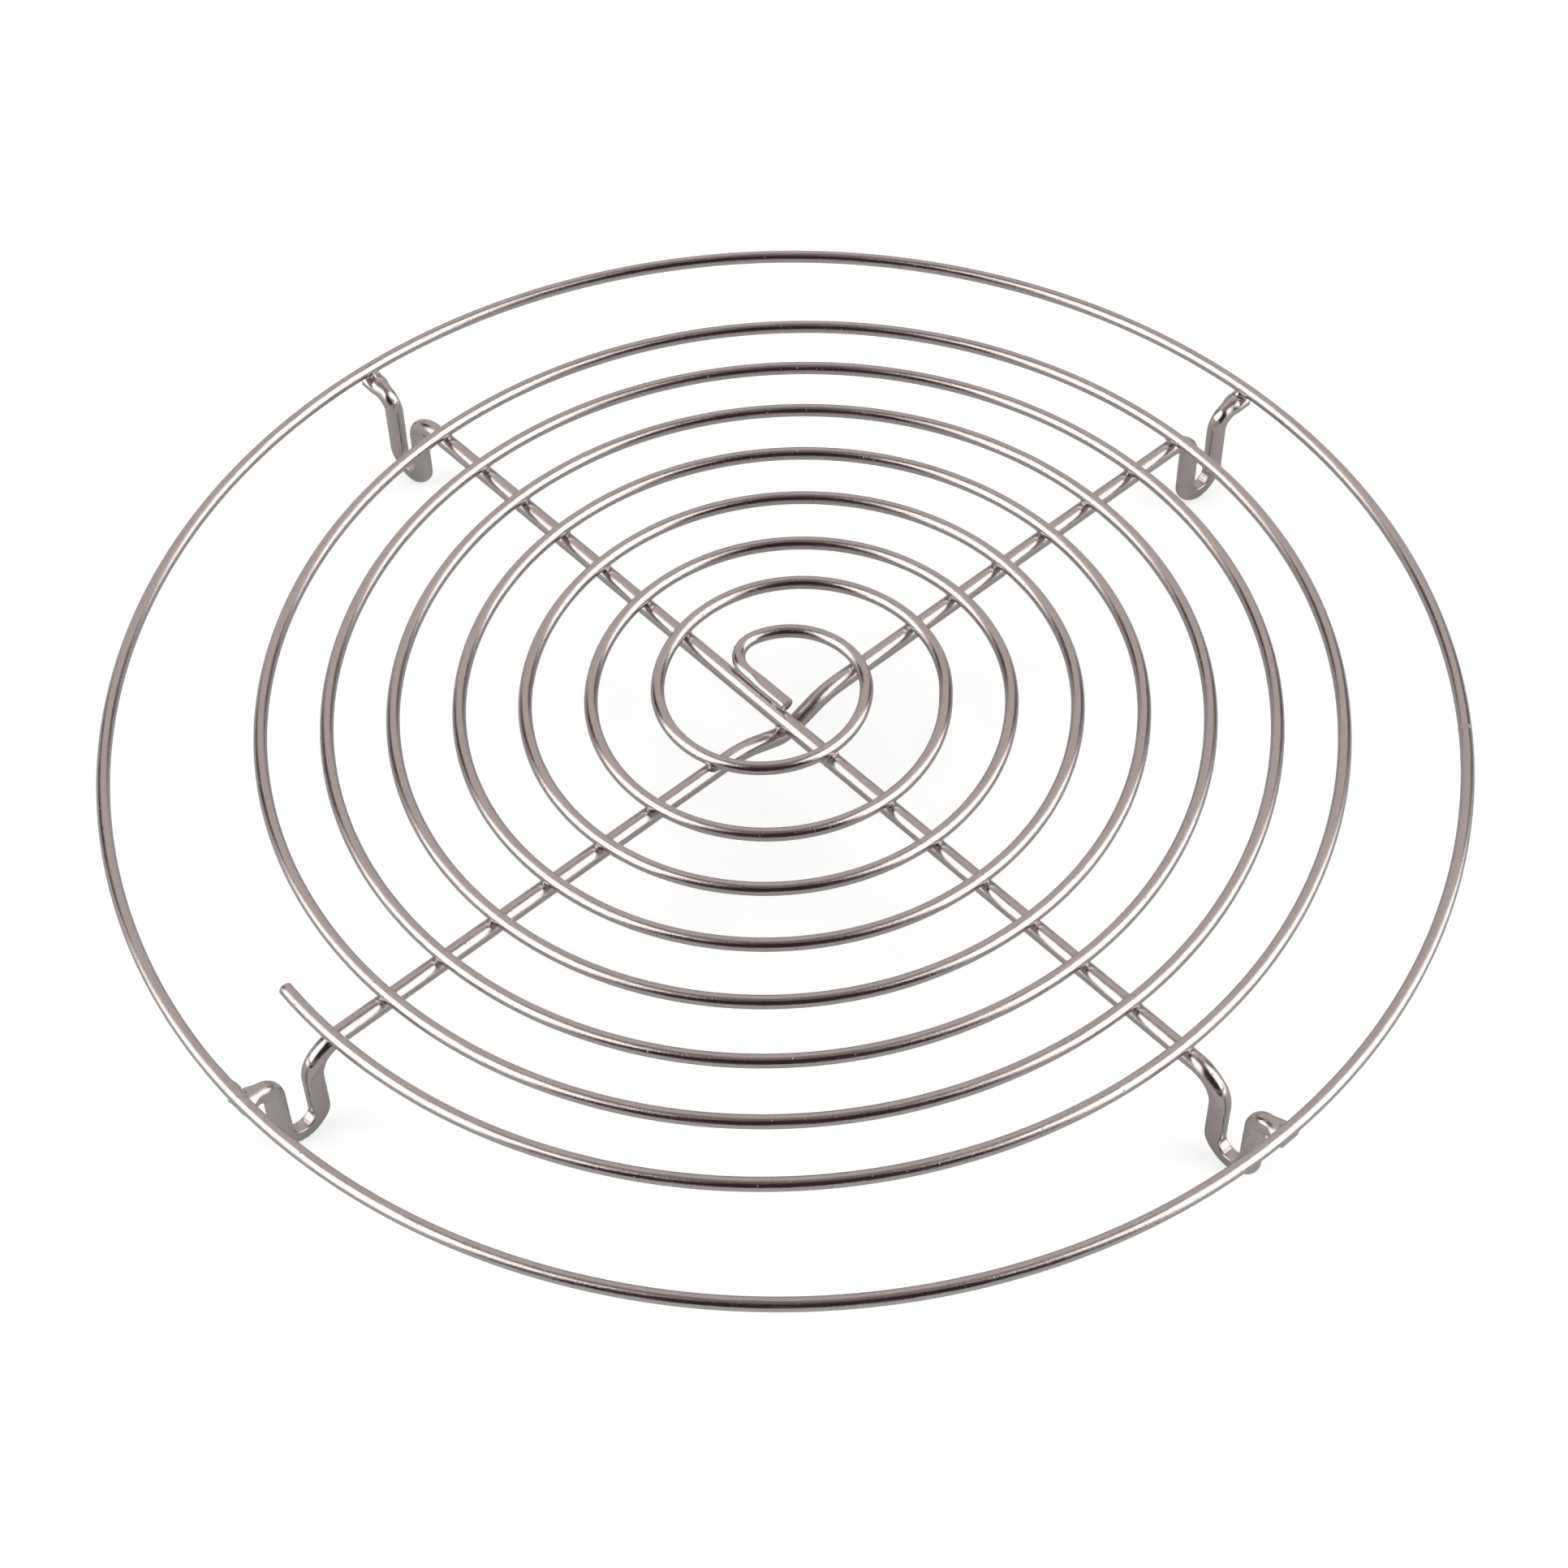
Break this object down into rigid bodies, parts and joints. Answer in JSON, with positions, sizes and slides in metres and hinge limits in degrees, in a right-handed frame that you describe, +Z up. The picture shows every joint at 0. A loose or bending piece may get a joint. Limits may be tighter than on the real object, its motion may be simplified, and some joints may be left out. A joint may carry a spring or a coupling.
{
  "type": "cooling rack",
  "caption": "Round wire cooling rack: a flat coiled wire and a rim ring on two crossed bars with looped feet, for cooling baked goods off the worktop.",
  "frame": {"origin": "on the floor, under the centre of the rim ring", "axes": "+Z up through the ring's centre; the front is -Y; the crossbars lie on the diagonals between X and Y"},
  "size_m": [0.3, 0.3, 0.029],
  "materials": {
    "ring_wire": "plated drawn wire, satin bright",
    "coil_wire": "plated drawn wire, satin bright",
    "crossbar_wire": "plated drawn wire, satin bright",
    "weld_metal": "plated over rough weld metal"
  },
  "bodies": {
    "root": {"outer_ring": "ring_wire", "coil_wire": "coil_wire", "straight_crossbar": "crossbar_wire", "cranked_crossbar": "crossbar_wire", "ring_joint_welds": "weld_metal", "straight_crossbar_coil_welds": "weld_metal", "cranked_crossbar_coil_welds": "weld_metal", "crossbar_centre_weld": "weld_metal", "coil_tail_weld": "weld_metal"}
  },
  "joints": []
}
